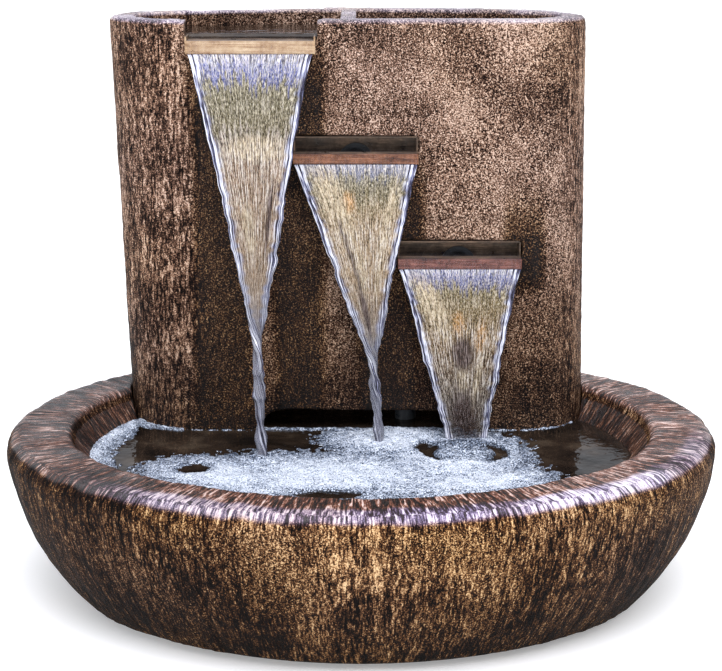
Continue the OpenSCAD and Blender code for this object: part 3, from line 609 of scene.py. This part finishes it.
def water_fall(i, name, pull, taper, drift, speed, back_y, seed, bands, patches, web_end=None):
    """A film over the crest and lip, then a sheet that draws in to a rope.

    pull and taper narrow the sheet with the root of the drop and with the drop, drift moves it to the right,
    speed is how fast it leaves the lip, and the film starts at back_y. Where web_end is given, the sheet
    thins out between those two drops.
    """
    x0, crest, drop = SPILL_X[i], SPILL_Z[i], LIP_DROP[i]
    top_z = crest - drop - 0.0008
    land = top_z - WATER_Z + 0.006
    # path: y, z and drop below the lip, less than 0 while the water is still on the copper
    path = [(back_y, crest + 0.0014, -1.0)]
    for k in range(1, 9):
        path.append((back_y + (LIP_Y + 0.001 - back_y) * k / 8, crest + 0.0014 - 0.0004 * k / 8, -1.0))
    for k in range(1, 6):
        t = math.radians(90 * k / 5)
        path.append((LIP_Y + 0.001 - 0.0019 * math.sin(t), crest + 0.0010 - 0.0024 * (1 - math.cos(t)), -0.6))
    path += [(LIP_Y - 0.0010, crest - drop * 0.6, -0.4), (LIP_Y - 0.0012, top_z - 0.0004, -0.1)]
    for k in range(FALL_STEPS + 1):
        d = land * k / FALL_STEPS
        y = LIP_Y - 0.0016 - speed * (math.sqrt(2 * (d + HEAD) / GRAVITY) - math.sqrt(2 * HEAD / GRAVITY))
        path.append((y, top_z - d, d))
    path = np.array(path)
    d = np.maximum(path[:, 2], 0)
    tangent = np.gradient(path[:, :2], axis=0)
    tangent /= np.linalg.norm(tangent, axis=1)[:, None]
    side = np.stack([-tangent[:, 1], tangent[:, 0]], axis=1)
    line = np.stack([d * 0 + seed, d * 0, d], axis=1)
    width = 2 * HALF_SPILL - 0.002 - pull * np.sqrt(d) * math.sqrt(0.001) - taper * d
    rope = 0.0105 + 0.0035 * noise(line, 55, seed + 1) + 0.002 * noise(line, 140, seed + 2)
    roped = smooth(0.030, 0.004, width)
    half = np.maximum(width, rope) / 2
    u = -np.cos(np.linspace(0, math.pi, FALL_ACROSS))
    rows, flow, cover = [], [], []
    neck = land if width.min() > ROPE_W else d[np.argmax(width < ROPE_W)]
    for k in range(len(path)):
        y, z, raw = path[k]
        free = raw >= 0
        t = d[k] / max(neck, 1e-6)
        w = half[k]
        sides = np.array([[seed * 1.7, 0, d[k]], [seed * 2.9, 5, d[k]]])
        bead = 1 + 0.45 * noise(sides[:1], 210, seed + 15)[0]
        rim_r = (0.0010 + 0.0026 * bead * min(1, t) ** 0.7) if free else 0.0009
        shake = noise(sides, 95, seed + 5, 2) * 0.0030 * min(1, t * 1.6)

        # a thin film between two thick edges, which become one rope
        near = np.clip((1 - np.abs(u)) * w / (rim_r * 1.3), 0, 2.2)
        film = 0.0007 if free else 0.0005
        thick = (film + (rim_r - film) * np.exp(-(near**2))) * np.sqrt(np.clip(1 - np.abs(u) ** 14, 0.0, 1))
        flat = 0.42 + 0.16 * math.sin(d[k] * 190 + seed)
        rope_t = rope[k] * flat * np.sqrt(np.clip(1 - u * u, 0, 1))
        thick = thick * (1 - roped[k]) + rope_t * roped[k]

        # the section across the fall, waved, bulged and twisted
        xs = u * w + np.where(u < 0, shake[0], shake[1]) * np.abs(u) ** 3
        pts = np.stack([xs * 180 + seed * 31, np.zeros_like(xs), np.full_like(xs, d[k] * 22)], axis=1)
        wave = noise(pts, 1, seed + 7, 2) * 0.0011 * min(1, t * 3) * (1 - roped[k])
        bulge = -0.10 * w * (1 - u * u) * min(1, t) * (1 - roped[k])
        front, back = thick + wave + bulge, -thick + wave + bulge
        twist = roped[k] * (d[k] - neck * 0.85) * 38
        ct, st = math.cos(twist), math.sin(twist)
        cx = x0 + drift * d[k] + 0.0015 * noise(sides[:1], 12, seed + 9)[0] * min(1, t)
        wide = np.concatenate([xs, xs[::-1]])
        out = np.concatenate([front, back[::-1]])
        wide, out = wide * ct - out * st, wide * st + out * ct
        rows.append(np.stack([cx + wide, y + side[k, 0] * out, z + side[k, 1] * out], axis=1))

        # what the material reads: across, down, how near an edge, and cover
        across = np.concatenate([u, u[::-1]])
        ragged = 0.0022 * noise(sides[:1], 230, seed + 13)[0]
        edge = smooth(0.0088, 0.0032, (1 - np.abs(across)) * w + ragged)
        edge = np.maximum(edge * (0.25 + 0.75 * free), roped[k] * 0.85 * free)
        flow.append(np.stack([across, np.full_like(across, d[k]), edge], axis=1))
        covers = np.full_like(across, IN_SHEET if free else ON_COPPER)
        if web_end and free:
            covers = covers * (1 - 0.72 * smooth(*web_end, d[k]) * (1 - edge))
        if free:
            covers = np.where(roped[k] > 0.5, IN_ROPE, covers)
        cover.append(covers)
    verts, faces = tube_rows(rows)
    ob = mesh_object(name, verts, faces)
    flow = np.concatenate(flow)
    flow[:, 1] /= max(neck, 1e-6)
    attribute(ob, "flow", flow)
    attribute(ob, "cover", np.concatenate(cover))
    for tint in ("cream", "amber", "painted_shade"):
        attribute(ob, tint, spots(flow, patches[tint]) * (flow[:, 1] > 0))
    finish_piece(ob, fall_material(name + "_water", bands))


# bands: the sheet's colours, mostly a painted reflection, down to where it closes, at 1
# patches: across, down, half width, half height and lean of each cream patch (a painted highlight), amber
# patch or dark patch (painted shade)
FALLS = (
    dict(name="water_upper", pull=1.05, taper=0.346, drift=0.027, speed=0.33, back_y=0.150, seed=3,
         bands=[(0.0, (140, 142, 164)), (0.02, (190, 194, 210)), (0.045, (104, 112, 172)),
                (0.08, (106, 114, 168)), (0.11, (106, 100, 72)), (0.26, (104, 94, 64)),
                (0.31, (154, 142, 134)), (0.40, (152, 122, 98)), (0.80, (156, 124, 92)),
                (1.0, (150, 132, 118))],
         patches={"cream": [(0.1, 0.33, 0.8, 0.05, 0.0), (-0.2, 0.62, 0.25, 0.10, 0.4)],
                  "amber": [],
                  "painted_shade": [(0.5, 0.58, 0.10, 0.14, -0.4)]}),
    dict(name="water_middle", pull=0.50, taper=0.55, drift=0.085, speed=0.19, back_y=0.098, seed=11,
         bands=[(0.0, (156, 160, 182)), (0.03, (122, 128, 156)), (0.07, (116, 110, 92)),
                (0.16, (110, 98, 60)), (0.30, (176, 150, 116)), (0.55, (182, 152, 114)),
                (0.75, (152, 122, 90)), (1.0, (140, 130, 124))],
         patches={"cream": [(-0.45, 0.24, 0.30, 0.26, 0.7), (0.55, 0.40, 0.12, 0.34, -0.5),
                            (-0.1, 0.55, 0.22, 0.12, 0.5)],
                  "amber": [(-0.2, 0.19, 0.11, 0.06, 0.0)],
                  "painted_shade": [(-0.32, 0.50, 0.06, 0.27, 0.83), (-0.12, 0.78, 0.18, 0.15, 0.83)]}),
    dict(name="water_lower", pull=1.00, taper=0.40, drift=0.040, speed=0.155, back_y=0.098, seed=19,
         bands=[(0.0, (180, 184, 204)), (0.03, (112, 120, 176)), (0.08, (110, 112, 146)),
                (0.12, (112, 98, 54)), (0.38, (140, 108, 62)), (0.55, (110, 82, 54)),
                (0.72, (84, 66, 54)), (1.0, (80, 70, 72))],
         patches={"cream": [(-0.55, 0.22, 0.26, 0.20, 0.9), (-0.03, 0.62, 0.20, 0.07, 0.0),
                            (0.35, 0.66, 0.10, 0.24, -0.7)],
                  "amber": [(-0.06, 0.30, 0.12, 0.07, 0.0), (0.42, 0.38, 0.12, 0.10, -0.4)],
                  "painted_shade": [(0.0, 0.47, 0.30, 0.10, 0.0), (-0.08, 0.90, 0.62, 0.24, 0.0)]},
         web_end=(0.11, 0.16)),
)
for i, fall in enumerate(FALLS):
    water_fall(i, **fall)

# ------------------------------------------------------------------ pools and foam


def pool_material():
    """Still dark water over dark stone."""
    s = Shade("pool_water", IOR=1.33, Roughness=0.03, Specular_IOR_Level=0.26)
    obj = s.place()
    n = s.blend((s.noise(obj, 28, 3, 0.5), 0.7), (s.noise(obj, 120, 2, 0.5), 0.3))
    tint = s.ramp(s.noise(obj, 22, 4, 0.6),
                  [(0.35, (16, 13, 11)), (0.55, (38, 30, 24)), (0.7, (64, 54, 44))])
    s.set(Base_Color=tint, Normal=s.bump(n, 0.35, 0.004))
    return s.mat


POOL = pool_material()


def grid_sheet(name, lo, hi, step, keep, height, depth, mat):
    """A closed slab over the cells of a grid where keep() is true, with its top at height()."""
    nx, ny = int((hi[0] - lo[0]) / step) + 1, int((hi[1] - lo[1]) / step) + 1
    gx, gy = np.meshgrid(np.linspace(lo[0], hi[0], nx), np.linspace(lo[1], hi[1], ny))
    x, y = gx.ravel(), gy.ravel()
    inside = keep(x, y)
    idx = np.arange(nx * ny).reshape(ny, nx)
    corners = (idx[:-1, :-1], idx[:-1, 1:], idx[1:, 1:], idx[1:, :-1])
    quads = np.stack([c.ravel() for c in corners], axis=1)
    quads = quads[inside[quads].all(axis=1)]
    used = np.unique(quads)
    renum = np.full(nx * ny, -1)
    renum[used] = np.arange(len(used))
    quads = renum[quads]
    top = np.stack([x[used], y[used], height(x[used], y[used])], axis=1)
    bottom = top.copy()
    bottom[:, 2] = depth(x[used], y[used])
    m = len(used)
    edges = np.concatenate([quads[:, [k, (k + 1) % 4]] for k in range(4)])
    key = np.sort(edges, axis=1)
    _, inv, count = np.unique(key[:, 0] * m + key[:, 1], return_inverse=True, return_counts=True)
    rim = edges[count[inv.ravel()] == 1]
    walls = np.stack([rim[:, 1], rim[:, 0], rim[:, 0] + m, rim[:, 1] + m], axis=1)
    faces = np.concatenate([quads, quads[:, ::-1] + m, walls])
    ob = mesh_object(name, np.concatenate([top, bottom]), faces.tolist())
    return finish_piece(ob, mat)


RIPPLES = ((-0.095, -0.024, 0.0016), (0.012, 0.019, 0.0014), (0.098, 0.0, 0.0018))  # x, y, height


def pool_ripple(x, y):
    """Height of the rings round the three falls, over a slow swell."""
    p = np.stack([x, y, x * 0], axis=1)
    z = 0.0006 * noise(p, 30, 41, 2)
    for cx, cy, amp in RIPPLES:
        r = np.hypot(x - cx, y - cy)
        z += amp * np.cos(r * 420) * np.exp(-r * 34)
    return z


grid_sheet("bowl_water", (-0.27, -0.22), (0.27, 0.20), WATER_CELL,
           lambda x, y: oval(x, y)[0] > 0.0775,
           lambda x, y: WATER_Z + pool_ripple(x, y),
           lambda x, y: x * 0 + WATER_Z - 0.012, POOL)
grid_sheet("header_water", (-0.25, 0.09), (-0.019, 0.24), WATER_CELL,
           lambda x, y: tower_gap(x, y, 0.52) < -WALL + 0.002,
           lambda x, y: HEADER_Z + 0.4 * pool_ripple(x, y),
           lambda x, y: x * 0 + 0.512, POOL)


def foam_material():
    """White foam that turns to dark specks where it is thin."""
    s = Shade("foam", Specular_IOR_Level=0.4)
    obj = s.place()
    bubbles = s.cells(obj, 330)
    small = s.cells(obj, 800)
    drift = s.noise(obj, 60, 4, 0.65)
    speck = s.noise(obj, 680, 2, 0.8)
    v = s.blend((speck, 0.80), (drift, 0.20))
    v = s.math("ADD", v, s.span(s.attr("thick", "Fac"), 0.0, 0.7, -0.085, 0.034))
    colour = s.ramp(v, [(0.43, (26, 31, 42)), (0.46, (92, 108, 132)),
                        (0.49, (160, 174, 196)), (0.54, (212, 218, 226))])
    h = s.blend((bubbles, -0.6), (small, -0.4))
    s.set(Base_Color=colour, Roughness=0.35, Normal=s.bump(h, 0.5, 0.0015))
    return s.mat


RAFTS = (  # ellipses of foam: x, y, half sizes and turn
    (-0.02, -0.085, 0.165, 0.095, 0.0), (-0.125, -0.085, 0.10, 0.062, -0.5), (0.03, 0.035, 0.075, 0.072, 0.0),
    (0.085, -0.03, 0.082, 0.105, 0.0), (0.10, -0.105, 0.10, 0.05, 0.35),
)
HOLES = ((-0.154, -0.059, 0.020, 0.020), (-0.028, -0.135, 0.034, 0.013), (0.060, 0.010, 0.012, 0.02))
RING_X = 0.099  # the middle of the dark ring where the lower fall lands


def foam_mask(x, y):
    """More than 0 where foam floats, from the drift of the three falls."""
    p = np.stack([x, y, x * 0], axis=1)
    inset = oval(x, y)[0]
    gap = tower_gap(x, y, WATER_Z)
    m = np.full(len(x), -np.inf)
    for cx, cy, rx, ry, turn in RAFTS:
        c, s = math.cos(turn), math.sin(turn)
        dx, dy = x - cx, y - cy
        m = np.maximum(m, 1 - np.hypot((dx * c + dy * s) / rx, (-dx * s + dy * c) / ry))
    # along the bowl's left side, and where the pool meets the tower
    strip = np.minimum(1 - np.abs(inset - 0.081) / 0.024, smooth(-0.215, -0.235, x) * 2 - 0.6)
    m = np.maximum(m, strip * 0.5)
    m = np.maximum(m, np.where((x < -0.175) & (y > 0.03), 0.30 - gap / 0.030, -1))
    m = np.maximum(m, np.where(y < 0.10, 0.12 - gap / 0.016, -1))
    m = np.minimum(m, 0.75)
    for cx, cy, rx, ry in HOLES:
        m = m - 0.85 * smooth(1.3, 0.3, np.hypot((x - cx) / rx, (y - cy) / ry))
    ring = np.abs(np.hypot((x - RING_X) / 0.040, (y + 0.010) / 0.036) - 0.86)
    aside = np.abs(x - RING_X) + 0.004 * noise(p, 90, 55)
    m = m - 0.75 * smooth(0.26, 0.05, ring) * smooth(0.012, 0.030, aside)
    m = m + 0.16 * noise(p, 22, 51, 3) + 0.20 * noise(p, 240, 53, 2)
    return np.where((inset > 0.076) & (gap > -0.004), m, -1)


def foam_height(x, y):
    """Height of the foam's lumpy top."""
    p = np.stack([x, y, x * 0], axis=1)
    m = foam_mask(x, y)
    lump = 0.5 + 0.5 * noise(p, 45, 57, 2)
    bead = np.abs(noise(p, 330, 59))
    rise = np.sqrt(np.clip(m, 0, 1)) * (0.0022 + 0.0030 * lump + 0.0012 * bead)
    return WATER_Z + pool_ripple(x, y) - 0.0006 + rise


foam = grid_sheet("foam", (-0.262, -0.215), (0.262, 0.12), FOAM_CELL,
                  lambda x, y: foam_mask(x, y) > 0, foam_height,
                  lambda x, y: x * 0 + WATER_Z - 0.003, foam_material())
foam_x, foam_y, _ = coords(foam.data).T
churn = smooth(1.05, 0.75, np.hypot((foam_x - RING_X) / 0.046, (foam_y + 0.006) / 0.042))
attribute(foam, "thick", foam_mask(foam_x, foam_y) - 0.42 * churn)


# ------------------------------------------------------------------ plumbing


def plain_material(name, light, dark, rough, metal=0.0):
    """Plastic, rubber, steel or ceramic with a slight cloud and grain."""
    s = Shade(name, Metallic=metal)
    obj = s.place()
    cloud = s.noise(obj, 90, 4, 0.6)
    grain = s.noise(obj, 810, 2, 0.6)
    v = s.blend((cloud, 0.65), (grain, 0.35))
    s.set(Base_Color=s.ramp(v, [(0.35, dark), (0.65, light)]),
          Roughness=s.span(cloud, 0.3, 0.7, rough - 0.08, rough + 0.12), Normal=s.bump(v, 0.35, 0.0006))
    return s.mat


PLAIN = {  # by material slot: light and dark colour, roughness
    "dark_plastic": plain_material("fitting_plastic", (62, 66, 72), (34, 37, 42), 0.42),
    "pump_plastic": plain_material("pump_plastic", (44, 50, 62), (22, 26, 34), 0.45),
    "black_rubber": plain_material("rubber", (42, 41, 40), (20, 19, 19), 0.72),
    "hose": plain_material("vinyl_hose", (88, 92, 96), (58, 62, 66), 0.28),
    "steel": plain_material("stainless", (206, 208, 212), (150, 152, 158), 0.28, 1.0),
    "valve_plastic": plain_material("acetal", (226, 224, 214), (196, 192, 180), 0.38),
    "lever_plastic": plain_material("lever_plastic", (176, 44, 34), (122, 24, 20), 0.34),
    "shaft_ceramic": plain_material("ceramic", (240, 238, 232), (214, 212, 206), 0.2),
    "dial_plastic": plain_material("dial_plastic", (226, 128, 36), (176, 88, 20), 0.32),
}
for part in frame["record"]["subparts"]:
    if part["material_slot"] in PLAIN:
        dress(part["node"], PLAIN[part["material_slot"]], 40)

# ------------------------------------------------------------------ stage and light

bpy.ops.mesh.primitive_plane_add(size=60, location=(0, 0, -0.0005))
floor = bpy.context.object
floor.name = "floor"
floor_paint = Shade("floor_paint", Base_Color=(0.88, 0.88, 0.88), Roughness=0.9,
                    Emission_Color=(1, 1, 1), Emission_Strength=0.28)
floor.data.materials.append(floor_paint.mat)

scene.world = bpy.data.worlds.new("world")
scene.world.use_nodes = True
sky = scene.world.node_tree.nodes["Background"].inputs
sky["Color"].default_value = (0.90, 0.93, 1.0, 1)
sky["Strength"].default_value = 0.75
sun = bpy.data.objects.new("sun", bpy.data.lights.new("sun", "SUN"))
sun.data.energy, sun.data.angle, sun.data.color = 2.0, math.radians(50), (1.0, 0.97, 0.93)
sun.rotation_euler = (math.radians(32), math.radians(8), 0)
scene.collection.objects.link(sun)


def area(name, loc, target, size, power, colour):
    """A square lamp that faces target."""
    data = bpy.data.lights.new(name, "AREA")
    data.shape, data.size, data.energy, data.color = "SQUARE", size, power, colour
    ob = bpy.data.objects.new(name, data)
    ob.location = loc
    ob.rotation_euler = (Vector(target) - Vector(loc)).to_track_quat("-Z", "Y").to_euler()
    scene.collection.objects.link(ob)


area("overhead", (0.1, -0.9, 1.9), (0, -0.1, 0.15), 1.5, 34, (0.84, 0.86, 1.0))
area("fill", (-1.9, -1.6, 1.0), (0, 0, 0.2), 1.2, 8, (0.95, 0.96, 1.0))
